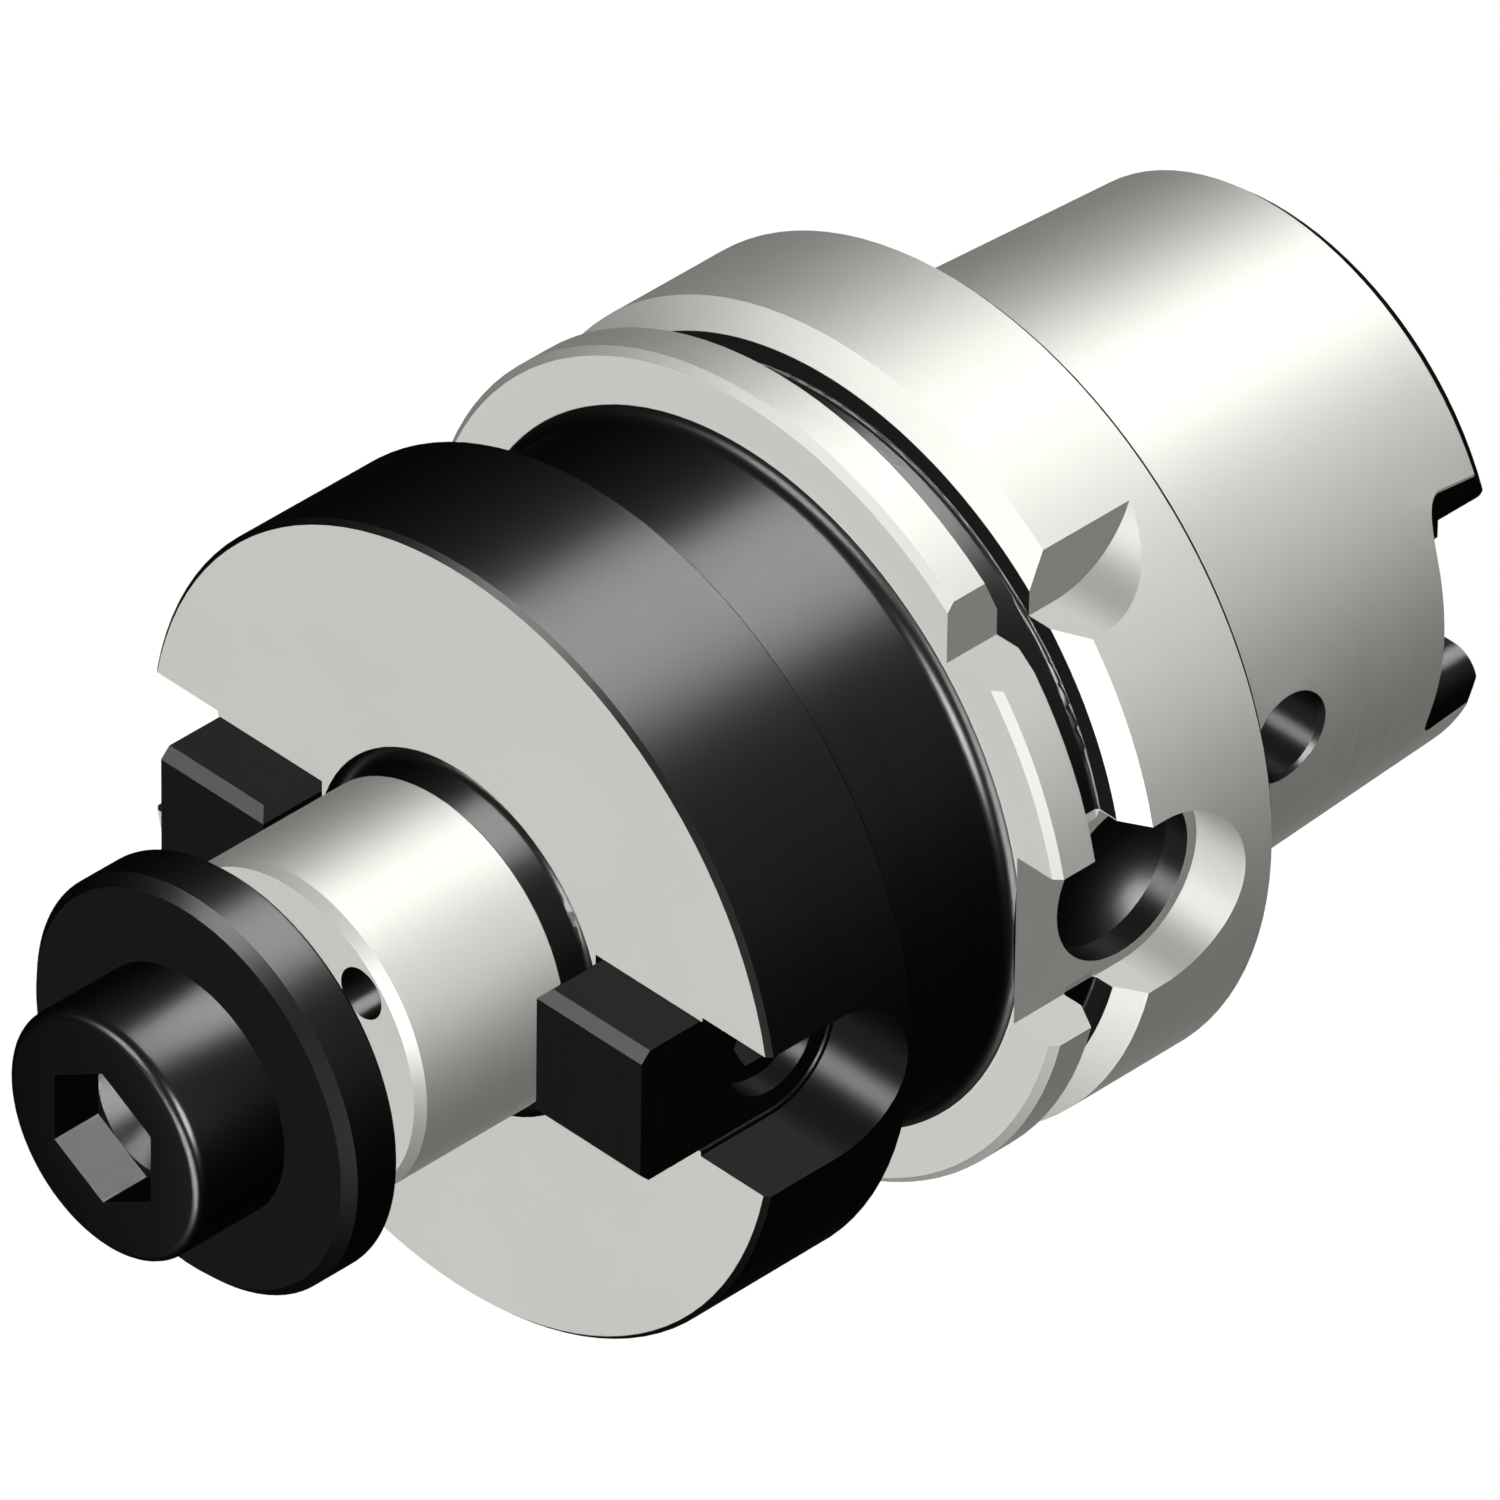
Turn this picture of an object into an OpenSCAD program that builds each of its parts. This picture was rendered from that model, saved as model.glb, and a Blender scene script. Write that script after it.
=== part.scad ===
// Shell mill holder with a hollow taper shank, size 80, and a pilot of 32.
// X is the tool axis. The contact face lies at x = 0, and the cutter side is +X. +Z is up.

/* [Taper shank] */
// Length of the shank behind the contact face
shank_l = 40; // [36:0.5:44]
// Diameter of the taper in its gauge plane
taper_d = 60; // [58:0.1:62]
// Distance of the taper's gauge plane behind the contact face
taper_gauge_l = 8; // [6:0.5:10]
// Length over which the taper's diameter grows by 1
taper_ratio = 9.98; // [9:0.02:11]
// Lead at the rear end of the taper
shank_lead = 1.3; // [0.6:0.1:2]
// Depth of the relief in the corner between the taper and the contact face
taper_relief = 0.5; // [0.3:0.1:1]
// Width of the drive slots in the rear end
drive_slot_w = 16.04; // [14:0.02:18]
// Length of the drive slots
drive_slot_l = 7.9; // [6:0.1:9]
// Distance of the flats beside the drive slots from the axis
drive_flat = 25.5; // [25:0.1:26.5]
// Fillet between a flat and its shoulder
drive_fillet = 2.2; // [1:0.1:3]
// Rounding between a flat and the wall of its drive slot
drive_edge = 3; // [1:0.1:3.4]
// Diameter of the access holes for the spindle's hand clamping screw
access_d = 8; // [6:0.1:9]
// Distance of the access holes behind the contact face
access_l = 12; // [10:0.1:14]
// Chamfer of the access holes
access_chamfer = 0.68; // [0.3:0.02:1]

/* [Hollow] */
// Diameter of the bore between the mouth and the clamping shoulder
hollow_d = 42; // [40:0.2:43.4]
// Chamfer at the mouth of the hollow
hollow_chamfer = 1.5; // [0.5:0.1:2]
// Diameter of the undercut behind the clamping shoulder
gripper_d = 46; // [44.4:0.2:47]
// Distance of the clamping shoulder's edge behind the contact face
shoulder_l = 22.85; // [20:0.05:25]
// Angle of the clamping shoulder to the axis
shoulder_angle = 30; // [25:1:45]
// Distance of the hollow's floor in front of the contact face
hollow_floor_l = 12.5; // [10:0.5:14]
// Fillet round the floor of the hollow
hollow_fillet = 1.5; // [0.5:0.1:3]

/* [Flange] */
// Diameter of the flange
flange_d = 80; // [78.5:0.5:84]
// Length of the flange
flange_l = 26; // [24:0.5:30]
// Chamfer of both flange edges
flange_chamfer = 0.7; // [0.3:0.1:1.2]
// Distance of the gripper groove's middle from the contact face
groove_l = 18; // [17:0.1:19]
// Width of the gripper groove at the flange's edge
groove_w = 7.05; // [6.5:0.05:8]
// Width of the gripper groove between its straight walls
groove_floor_w = 3.9; // [3:0.05:4.5]
// Angle between the flanks of the gripper groove
groove_angle = 60; // [50:1:70]
// Diameter at the floor of the gripper groove
groove_floor_d = 70; // [68:0.2:73]
// Fillet at the floor of the gripper groove
groove_fillet = 0.4; // [0.2:0.05:0.8]
// Distance of the orientation notch's two faces from the axis
notch_flat = 25; // [24:0.1:27]
// Radius of the notch's run-out
notch_run_out_r = 9.5; // [7:0.1:12]
// Distance of the notch's run-out from the contact face, to its axis
notch_run_out_l = 12.9; // [12:0.1:14]

/* [Keyways] */
// Distance of both keyways' round ends from the contact face
keyway_end_l = 3.9; // [3:0.1:5]
// Width of the shallow keyway
keyway_w = 18; // [16:0.1:20]
// Distance of the shallow keyway's floor from the axis
keyway_floor = 34; // [33.6:0.1:36]
// Width of the deep keyway
deep_keyway_w = 20; // [18:0.1:22]
// Distance of the deep keyway's floor from the axis
deep_keyway_floor = 25; // [24.6:0.1:27]
// Diameter of the balancing hollow in the shallow keyway's floor
balance_d = 16; // [12:0.1:17]
// Depth of the balancing hollow
balance_depth = 5.4; // [4:0.1:6.5]
// Depth of the straight wall round the balancing hollow
balance_wall = 2.6; // [1:0.1:3]
// Distance of the balancing hollow from the contact face
balance_l = 13; // [12.5:0.1:14]

/* [Neck and collar] */
// Distance of the cutter's seat from the contact face
gauge_l = 60; // [58:0.5:70]
// Diameter of the neck
neck_d = 67; // [64:0.2:67.8]
// Fillets at both ends of the neck
neck_fillet = 1.3; // [0.5:0.1:2]
// Diameter of the collar
collar_d = 78; // [74:0.5:79.5]
// Length of the collar
collar_l = 16.7; // [16.4:0.1:20]
// Chamfer of the collar's rear edge
collar_rear_chamfer = 0.3; // [0.1:0.1:1]
// Chamfer of the collar's front edge
collar_front_chamfer = 0.5; // [0.3:0.1:1]

/* [Pilot] */
// Diameter of the pilot that centres the cutter
pilot_d = 32; // [31:0.1:34]
// Length of the pilot in front of the cutter's seat
pilot_l = 20; // [16:0.5:24]
// Length of the chamfer on the pilot's front edge
pilot_chamfer_l = 1; // [0.5:0.1:2]
// Depth of the chamfer on the pilot's front edge
pilot_chamfer_r = 0.6; // [0.3:0.1:0.8]
// Length of the unground root in front of the cutter's seat
pilot_root_l = 2.6; // [1:0.1:4]
// Depth of the unground root below the pilot's surface
pilot_root_depth = 0.3; // [0.1:0.05:0.5]
// Width of the relief groove round the pilot's root
relief_w = 1.9; // [1.2:0.1:2.4]
// Depth of the relief groove behind the cutter's seat
relief_depth = 1.5; // [1.3:0.1:2.5]
// Diameter of the two coolant holes
coolant_d = 5; // [4:0.1:5]
// Diameter of the circle on which the coolant holes leave the pilot
coolant_outlet_pcd = 25.1; // [24.6:0.1:25.6]
// Diameter of the circle on which the coolant holes start in the core
coolant_inlet_pcd = 20.2; // [19:0.1:21]
// Angle of the coolant holes from the drive keys
coolant_angle = 45; // [35:1:55]

/* [Drive keys] */
// Width of a drive key
key_w = 14; // [12:0.1:15]
// Height of a drive key along its screw
key_h = 12.85; // [11:0.05:14]
// Length by which a drive key stands out of the cutter's seat
key_proud = 7; // [5:0.1:9]
// Distance of a key's round end behind the cutter's seat, to its axis
key_seat_l = 8.5; // [8.2:0.1:9]
// Distance between the pilot and a drive key
key_pilot_gap = 1; // [0.6:0.1:2]
// Chamfer of a drive key's front and inner edges
key_chamfer = 1; // [0.5:0.1:2]
// Clearance of a drive key in its pocket, on each side
key_clearance = 0.02; // [0.01:0.01:0.1]
// Step between a key's outer face and the ledge round it
key_ledge_step = 0.25; // [0.1:0.05:0.6]
// Width of the ledge round a drive key
key_ledge_w = 0.5; // [0.3:0.05:0.8]

/* [Key screws] */
// Thread diameter of the key screws
key_screw_d = 6; // [5:0.5:6]
// Head diameter of the key screws
key_screw_head_d = 9.6; // [9:0.1:9.7]
// Head height of the key screws
key_screw_head_h = 6; // [5:0.1:6.4]
// Width across the flats of the key screws' sockets
key_screw_af = 5; // [4:0.5:5]
// Depth of the key screws' sockets
key_screw_socket_l = 3; // [2:0.1:3.5]
// Length of the key screws below the head
key_screw_l = 11; // [10:0.1:12]
// Depth of the screw heads below the key's outer face
key_screw_sink = 1.6; // [1:0.1:2]
// Diameter of the counterbore in the key
counterbore_d = 10; // [9.8:0.1:11]
// Edge chamfer of the screw heads
key_screw_edge = 0.6; // [0.3:0.1:1]

/* [Clamp disc and clamp screw] */
// Gap between the pilot and the clamp disc, as the screw stands
clamp_gap = 6; // [3:0.5:8]
// Diameter of the clamp disc
disc_d = 40; // [36:0.5:44]
// Thickness of the clamp disc
disc_t = 6; // [5:0.5:8]
// Chamfer of the clamp disc's front edge
disc_chamfer = 1; // [0.5:0.1:2]
// Chamfer of the clamp disc's rear edge
disc_rear_chamfer = 0.5; // [0.3:0.1:1]
// Thread diameter of the clamp screw
clamp_screw_d = 16; // [14:0.5:17]
// Length of the clamp screw below the head
clamp_screw_l = 30; // [26:0.5:32]
// Head diameter of the clamp screw
clamp_head_d = 24; // [22:0.5:26]
// Head height of the clamp screw
clamp_head_h = 10; // [9:0.5:12]
// Rounding of the clamp screw's head
clamp_head_edge = 1; // [0.5:0.1:1.5]
// Fillet below the clamp screw's head
clamp_head_fillet = 0.5; // [0.3:0.1:0.8]
// Width across the flats of the clamp screw's socket
clamp_af = 12; // [10:0.5:12]
// Depth of the hexagon in the clamp screw's socket
clamp_socket_l = 5.2; // [4:0.1:6]
// Depth of the round bore at the bottom of the socket
clamp_socket_bore_l = 7.8; // [7:0.1:8.5]
// Chamfer at the tip of the clamp screw
clamp_tip_chamfer = 1.2; // [0.6:0.1:2]
// Depth of the clamp screw's hole in the pilot
clamp_hole_l = 28; // [27:0.5:30]
// Chamfer at the mouth of the clamp screw's hole
clamp_hole_chamfer = 0.8; // [0.4:0.1:1]
// Play between the clamp screw and the disc's hole
disc_play = 0.5; // [0.3:0.1:0.8]

/* [Coolant tube] */
// Diameter of the coolant tube
tube_d = 14; // [12:0.1:14.4]
// Diameter of the tube's bore
tube_bore_d = 9; // [7:0.1:10]
// Length of the tube behind its flange
tube_l = 31; // [26:0.5:36]
// Length of the tube's ground end, which the spindle's seal slides over
tube_seal_l = 19; // [14:0.5:19.5]
// Depth of the tube's waist below its ground end
tube_waist_depth = 0.2; // [0.1:0.05:0.5]
// Rounding of the tube's rear edge
tube_end_edge = 1; // [0.5:0.1:1.5]
// Thread diameter of the union nut
nut_d = 20; // [19.6:0.1:21]
// Length of the union nut
nut_l = 8.4; // [7.8:0.1:9]
// Distance of the union nut from the hollow's floor
nut_sink = 1; // [0.6:0.1:2]
// Chamfer of the union nut's rear edge
nut_chamfer = 0.6; // [0.3:0.1:1]
// Width of the spanner slots in the union nut
nut_slot_w = 3; // [2:0.1:4]
// Depth of the spanner slots in the union nut
nut_slot_l = 2.2; // [1.5:0.1:2.8]
// Number of spanner slots in the union nut
nut_slots = 4; // [4:1:6]
// Thickness of the tube's flange
tube_flange_t = 1.5; // [1.2:0.1:2.5]
// Diameter of the bore that the tube's head seals in
seal_bore_d = 18.5; // [18:0.1:19]
// Depth of the seal bore and the core behind the pilot
core_l = 14; // [12:0.5:15]
// Length of the tube's head in the seal bore
tube_head_l = 6.4; // [5.5:0.1:8]
// Play round the tube's head
tube_head_play = 0.35; // [0.3:0.05:0.5]
// Thickness of the two seal rings
ring_t = 1.8; // [1.4:0.1:2]
// Axial play of the tube's flange on each side
tube_play = 0.3; // [0.25:0.01:0.4]

/* [Fits] */
// Clearance of the screws and the union nut in their holes, on each side
thread_clearance = 0.05; // [0.02:0.01:0.1]
// Radial clearance of the seal rings
ring_clearance = 0.05; // [0.02:0.01:0.1]
// Play between a key screw and the hole in its key
key_hole_play = 0.3; // [0.2:0.05:0.45]

/* [Hidden] */
$fn = 96;

// How far a cut runs past the surface it leaves
past = 1;
// Point angle of a twist drill
drill_point = 118;

// Positions along the axis
shank_end_x = -shank_l;
shoulder_x = -shoulder_l;
access_x = -access_l;
collar_x = gauge_l - collar_l;
pilot_x = gauge_l + pilot_l;
disc_x = pilot_x + clamp_gap;
head_x = disc_x + disc_t;
head_front_x = head_x + clamp_head_h;
key_end_x = gauge_l - key_seat_l;
key_front_x = gauge_l + key_proud;

// Radii
flange_r = flange_d / 2;
neck_r = neck_d / 2;
collar_r = collar_d / 2;
pilot_r = pilot_d / 2;
root_r = pilot_r - pilot_root_depth;
hollow_r = hollow_d / 2;
gripper_r = gripper_d / 2;
groove_floor_r = groove_floor_d / 2;
groove_wall_r = flange_r - (groove_w - groove_floor_w) / 2 / tan(groove_angle / 2);
clamp_hole_r = clamp_screw_d / 2 + thread_clearance;
nut_hole_r = nut_d / 2 + thread_clearance;
key_hole_r = key_screw_d / 2 + thread_clearance;
disc_hole_r = clamp_screw_d / 2 + disc_play;

// Drive keys, measured outwards from the axis
key_inner = pilot_r + key_pilot_gap;
key_outer = key_inner + key_h;
key_ledge = key_outer + key_ledge_step;
key_head_top = key_outer - key_screw_sink;
key_head_seat = key_head_top - key_screw_head_h;
key_screw_tip = key_head_seat - key_screw_l;
key_hole_floor = key_screw_tip - key_screw_d / 6;

// Coolant tube, from the hollow's floor to the front
nut_x = hollow_floor_l + nut_sink;
nut_front_x = nut_x + nut_l;
tube_flange_x = nut_front_x + tube_play;
tube_head_x = tube_flange_x + tube_flange_t;
seal_bore_x = tube_head_x + tube_play;
core_end_x = seal_bore_x + core_l;
tube_front_x = tube_head_x + tube_head_l;
tube_r = tube_d / 2;
waist_r = tube_r - tube_waist_depth;
tube_end_x = tube_flange_x - tube_l;
tube_head_r = seal_bore_d / 2 - tube_head_play;
tube_flange_r = nut_hole_r - tube_head_play;
front_ring_r = seal_bore_d / 2 - ring_clearance - ring_t / 2;
front_ring_x = tube_head_x + tube_head_l / 2;
rear_ring_r = waist_r + ring_clearance + ring_t / 2;
ring_pocket_l = ring_t + 0.5;
ring_pocket_r = rear_ring_r + ring_t / 2 + 0.25;
rear_ring_x = nut_front_x - ring_t / 2 - 0.1;
nut_bore_r = tube_r + 0.2;

// Coolant holes
coolant_in_x = core_end_x - 3;
coolant_in_r = coolant_inlet_pcd / 2;
coolant_out_r = coolant_outlet_pcd / 2;
coolant_tilt = atan((coolant_out_r - coolant_in_r) / (pilot_x - coolant_in_x));

// Radius of the taper at a place on the axis
function taper_r(x) = (taper_d + (x + taper_gauge_l) / taper_ratio) / 2;

// Length of a drill's point
function drill_tip(r) = r / tan(drill_point / 2);

// Turns a profile, drawn as [radius, place on the axis], round the tool axis
module turned() {
    rotate([0, 90, 0]) rotate_extrude() children();
}

// Cylinder along the tool axis
module bar(r, from_x, to_x) {
    translate([from_x, 0, 0]) rotate([0, 90, 0]) cylinder(r = r, h = to_x - from_x);
}

// Cylinder or cone that points outwards along +Y
module side_bar(r, from_y, to_y, x, end_r = undef) {
    translate([x, from_y, 0]) rotate([-90, 0, 0])
        cylinder(r1 = r, r2 = is_undef(end_r) ? r : end_r, h = to_y - from_y);
}

// Hexagonal recess along the tool axis with its corners towards +Z and -Z
module hex_bar(af, from_x, to_x) {
    translate([from_x, 0, 0]) rotate([0, 90, 0])
        cylinder(r = af / 2 / cos(30), h = to_x - from_x, $fn = 6);
}

// Hole along the tool axis that ends in a drill point, drilled towards -X
module drilled(r, mouth_x, end_x) {
    turned() polygon([[0, mouth_x], [r, mouth_x], [r, end_x], [0, end_x - drill_tip(r)]]);
}

// Corner filler for a concave fillet, to be placed at the corner
module fillet_corner(r) {
    difference() {
        square(r);
        translate([r, r]) circle(r = r);
    }
}

// Both sides of something that lies on +Y
module both_sides() {
    children();
    mirror([0, 1, 0]) children();
}

// Slot milled from the +Y side, with round ends about two places on the axis
module milled_slot(w, floor_y, to_y, rear_x, front_x) {
    translate([0, floor_y, 0]) rotate([-90, 0, 0]) linear_extrude(to_y - floor_y) {
        translate([rear_x, 0]) circle(d = w);
        translate([front_x, 0]) circle(d = w);
        translate([rear_x, -w / 2]) square([front_x - rear_x, w]);
    }
}

// Outline of the turned body, from the shank's end to the pilot's
module body_profile() {
    polygon([
        [0, shank_end_x],
        [taper_r(shank_end_x) - shank_lead * 0.8, shank_end_x],
        [taper_r(shank_end_x + shank_lead), shank_end_x + shank_lead],
        [taper_r(-4 * taper_relief), -4 * taper_relief],
        [taper_r(0) - taper_relief, -3 * taper_relief],
        [taper_r(0) - taper_relief, taper_relief / 2],
        [taper_r(0), taper_relief / 2],
        [taper_r(0) + taper_relief / 2, 0],
        [flange_r - flange_chamfer, 0],
        [flange_r, flange_chamfer],
        [flange_r, groove_l - groove_w / 2],
        [groove_wall_r, groove_l - groove_floor_w / 2],
        [groove_floor_r, groove_l - groove_floor_w / 2],
        [groove_floor_r, groove_l + groove_floor_w / 2],
        [groove_wall_r, groove_l + groove_floor_w / 2],
        [flange_r, groove_l + groove_w / 2],
        [flange_r, flange_l - flange_chamfer],
        [flange_r - flange_chamfer, flange_l],
        [neck_r, flange_l],
        [neck_r, collar_x],
        [collar_r - collar_rear_chamfer, collar_x],
        [collar_r, collar_x + collar_rear_chamfer],
        [collar_r, gauge_l - collar_front_chamfer],
        [collar_r - collar_front_chamfer, gauge_l],
        [root_r, gauge_l],
        [root_r, gauge_l + pilot_root_l - pilot_root_depth],
        [pilot_r, gauge_l + pilot_root_l],
        [pilot_r, pilot_x - pilot_chamfer_l],
        [pilot_r - pilot_chamfer_r, pilot_x],
        [0, pilot_x]
    ]);
    translate([neck_r, flange_l]) fillet_corner(neck_fillet);
    translate([neck_r, collar_x]) mirror([0, 1]) fillet_corner(neck_fillet);
    translate([groove_floor_r, groove_l - groove_floor_w / 2]) fillet_corner(groove_fillet);
    translate([groove_floor_r, groove_l + groove_floor_w / 2]) mirror([0, 1])
        fillet_corner(groove_fillet);
}

// Space inside the shank, where the spindle's grippers work
module hollow() {
    turned() difference() {
        polygon([
            [0, shank_end_x - past],
            [hollow_r + hollow_chamfer + past, shank_end_x - past],
            [hollow_r, shank_end_x + hollow_chamfer],
            [hollow_r, shoulder_x],
            [gripper_r, shoulder_x + (gripper_r - hollow_r) / tan(shoulder_angle)],
            [gripper_r, hollow_floor_l],
            [0, hollow_floor_l]
        ]);
        translate([gripper_r, hollow_floor_l]) rotate(180) fillet_corner(hollow_fillet);
    }
}

// Threaded hole, seal bore and core in front of the hollow
module coolant_core() {
    bar(nut_hole_r, hollow_floor_l - past, seal_bore_x);
    turned() polygon([
        [0, seal_bore_x - past],
        [seal_bore_d / 2, seal_bore_x - past],
        [seal_bore_d / 2, core_end_x],
        [0, core_end_x + drill_tip(seal_bore_d / 2)]
    ]);
}

// One slot for the spindle's drive key, with the flat round it
module drive_slot() {
    end_x = shank_end_x + drive_slot_l;
    depth = drive_slot_l + past;
    // The flat, with a fillet at its shoulder
    translate([0, 0, -flange_r]) linear_extrude(flange_d) difference() {
        translate([shank_end_x - past, drive_flat]) square([depth, flange_r - drive_flat]);
        translate([end_x, drive_flat]) mirror([1, 0]) fillet_corner(drive_fillet);
    }
    // The slot through the wall, with rounded outer edges
    translate([shank_end_x - past, 0, 0]) rotate([90, 0, 90]) linear_extrude(depth) {
        translate([hollow_r / 2, -drive_slot_w / 2])
            square([drive_flat + past - hollow_r / 2, drive_slot_w]);
        for (side = [0, 1]) mirror([0, side])
            translate([drive_flat, drive_slot_w / 2]) mirror([1, 0]) fillet_corner(drive_edge);
    }
}

// One access hole for hand clamping
module access_hole() {
    rim_y = taper_r(access_x);
    side_bar(access_d / 2, 0, flange_r, access_x);
    side_bar(access_d / 2, rim_y - access_chamfer, rim_y + past, access_x,
             access_d / 2 + access_chamfer + past);
}

// Notch that shows the changer which way round the tool is
module orientation_notch() {
    reach = flange_r - notch_flat;
    translate([0, flange_r, 0]) rotate([90, 0, 0]) linear_extrude(reach) {
        translate([notch_run_out_l, notch_flat + notch_run_out_r]) circle(r = notch_run_out_r);
        translate([notch_run_out_l, notch_flat]) square([flange_l + past - notch_run_out_l, reach]);
    }
}

// Round hollow that balances the body, with a straight wall and a dished bottom
module balance_hollow() {
    a = balance_d / 2;
    dish = balance_depth - balance_wall;
    dish_r = (a * a + dish * dish) / 2 / dish;
    translate([balance_l, keyway_floor - balance_depth, 0]) rotate([-90, 0, 0]) rotate_extrude() {
        translate([0, dish]) square([a, balance_wall + past]);
        intersection() {
            square([a, dish]);
            translate([0, dish_r]) circle(r = dish_r);
        }
    }
}

// Pocket that holds a drive key, the wider slot outside it and the hole for its screw
module key_pocket() {
    milled_slot(key_w + 2 * key_clearance, key_inner, key_ledge + past, key_end_x,
                gauge_l + key_w);
    milled_slot(key_w + 2 * key_ledge_w, key_ledge, collar_r + past, key_end_x,
                gauge_l + key_w);
    side_bar(key_hole_r, key_hole_floor, key_inner + past, key_end_x);
}

// Groove behind the seat, so that the cutter can lie flat on it
module relief_groove() {
    groove_r = relief_w / 2;
    turned() translate([root_r + groove_r, 0]) {
        translate([0, gauge_l - relief_depth + groove_r]) circle(r = groove_r);
        translate([-groove_r, gauge_l - relief_depth + groove_r])
            square([relief_w, relief_depth - groove_r + past]);
    }
}

// One coolant hole, from the core to the pilot's face
module coolant_hole() {
    run = (pilot_x + past - coolant_in_x) / cos(coolant_tilt);
    translate([coolant_in_x, coolant_in_r, 0]) rotate([0, 0, coolant_tilt]) rotate([0, 90, 0])
        cylinder(d = coolant_d, h = run);
}

module clamp_hole() {
    drilled(clamp_hole_r, pilot_x + past, pilot_x - clamp_hole_l);
    turned() polygon([
        [0, pilot_x + past],
        [clamp_hole_r + clamp_hole_chamfer + past, pilot_x + past],
        [clamp_hole_r, pilot_x - clamp_hole_chamfer],
        [0, pilot_x - clamp_hole_chamfer]
    ]);
}

// Shank, flange, neck, collar and pilot, turned and milled from one bar
module holder_body() {
    color([0.62, 0.62, 0.6]) difference() {
        turned() body_profile();
        hollow();
        coolant_core();
        both_sides() drive_slot();
        both_sides() access_hole();
        orientation_notch();
        milled_slot(keyway_w, keyway_floor, flange_r + past, keyway_end_l + keyway_w / 2,
                    flange_l);
        mirror([0, 1, 0])
            milled_slot(deep_keyway_w, deep_keyway_floor, flange_r + past,
                        keyway_end_l + deep_keyway_w / 2, flange_l);
        balance_hollow();
        both_sides() key_pocket();
        relief_groove();
        for (turn = [0, 180]) rotate([coolant_angle + turn, 0, 0]) coolant_hole();
        clamp_hole();
    }
}

// Key that drives the cutter, on the +Y side
module drive_key() {
    straight_x = key_front_x - key_chamfer;
    difference() {
        translate([0, key_inner, 0]) rotate([-90, 0, 0]) linear_extrude(key_h) {
            translate([key_end_x, 0]) circle(d = key_w);
            polygon([
                [key_end_x, -key_w / 2],
                [straight_x, -key_w / 2],
                [key_front_x, -key_w / 2 + key_chamfer],
                [key_front_x, key_w / 2 - key_chamfer],
                [straight_x, key_w / 2],
                [key_end_x, key_w / 2]
            ]);
        }
        side_bar(counterbore_d / 2, key_head_seat, key_outer + past, key_end_x);
        side_bar(key_screw_d / 2 + key_hole_play, key_inner - past, key_outer, key_end_x);
        for (side = [0, 1]) mirror([0, 0, side])
            translate([key_end_x - key_w, key_inner, key_w / 2 - key_chamfer])
                rotate([90, 0, 90]) linear_extrude(2 * key_w + key_proud) polygon([
                    [-past, -past],
                    [key_chamfer + past, key_chamfer + past],
                    [-past, key_chamfer + past]
                ]);
    }
}

// Cap screw that holds a drive key, on the +Y side
module key_screw() {
    head_r = key_screw_head_d / 2;
    difference() {
        translate([key_end_x, 0, 0]) rotate([-90, 0, 0]) rotate_extrude() polygon([
            [0, key_screw_tip],
            [key_screw_d / 2 - key_screw_edge, key_screw_tip],
            [key_screw_d / 2, key_screw_tip + key_screw_edge],
            [key_screw_d / 2, key_head_seat],
            [head_r, key_head_seat],
            [head_r, key_head_top - key_screw_edge],
            [head_r - key_screw_edge, key_head_top],
            [0, key_head_top]
        ]);
        translate([key_end_x, key_head_top - key_screw_socket_l, 0]) rotate([-90, 0, 0])
            cylinder(r = key_screw_af / 2 / cos(30), h = key_screw_socket_l + past, $fn = 6);
    }
}

module drive_key_right() {
    color([0.1, 0.1, 0.1]) drive_key();
}

module drive_key_left() {
    color([0.1, 0.1, 0.1]) mirror([0, 1, 0]) drive_key();
}

module key_screw_right() {
    color([0.13, 0.13, 0.13]) key_screw();
}

module key_screw_left() {
    color([0.13, 0.13, 0.13]) mirror([0, 1, 0]) key_screw();
}

// Disc that presses the cutter against its seat
module clamp_disc() {
    disc_r = disc_d / 2;
    color([0.15, 0.15, 0.15]) turned() polygon([
        [disc_hole_r, disc_x],
        [disc_r - disc_rear_chamfer, disc_x],
        [disc_r, disc_x + disc_rear_chamfer],
        [disc_r, head_x - disc_chamfer],
        [disc_r - disc_chamfer, head_x],
        [disc_hole_r + disc_play, head_x],
        [disc_hole_r, head_x - disc_play]
    ]);
}

// Low cap screw that draws the disc towards the pilot
module clamp_screw() {
    head_r = clamp_head_d / 2;
    shaft_r = clamp_screw_d / 2;
    tip_x = head_x - clamp_screw_l;
    color([0.12, 0.12, 0.12]) difference() {
        turned() {
            difference() {
                translate([0, head_x]) square([head_r, clamp_head_h]);
                translate([head_r, head_front_x]) rotate(180) fillet_corner(clamp_head_edge);
            }
            polygon([
                [0, tip_x],
                [shaft_r - clamp_tip_chamfer, tip_x],
                [shaft_r, tip_x + clamp_tip_chamfer],
                [shaft_r, head_x],
                [0, head_x]
            ]);
            translate([shaft_r, head_x]) mirror([0, 1]) fillet_corner(clamp_head_fillet);
        }
        hex_bar(clamp_af, head_front_x - clamp_socket_l, head_front_x + past);
        drilled(clamp_af / 2 - 0.05, head_front_x + past, head_front_x - clamp_socket_bore_l);
    }
}

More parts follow.
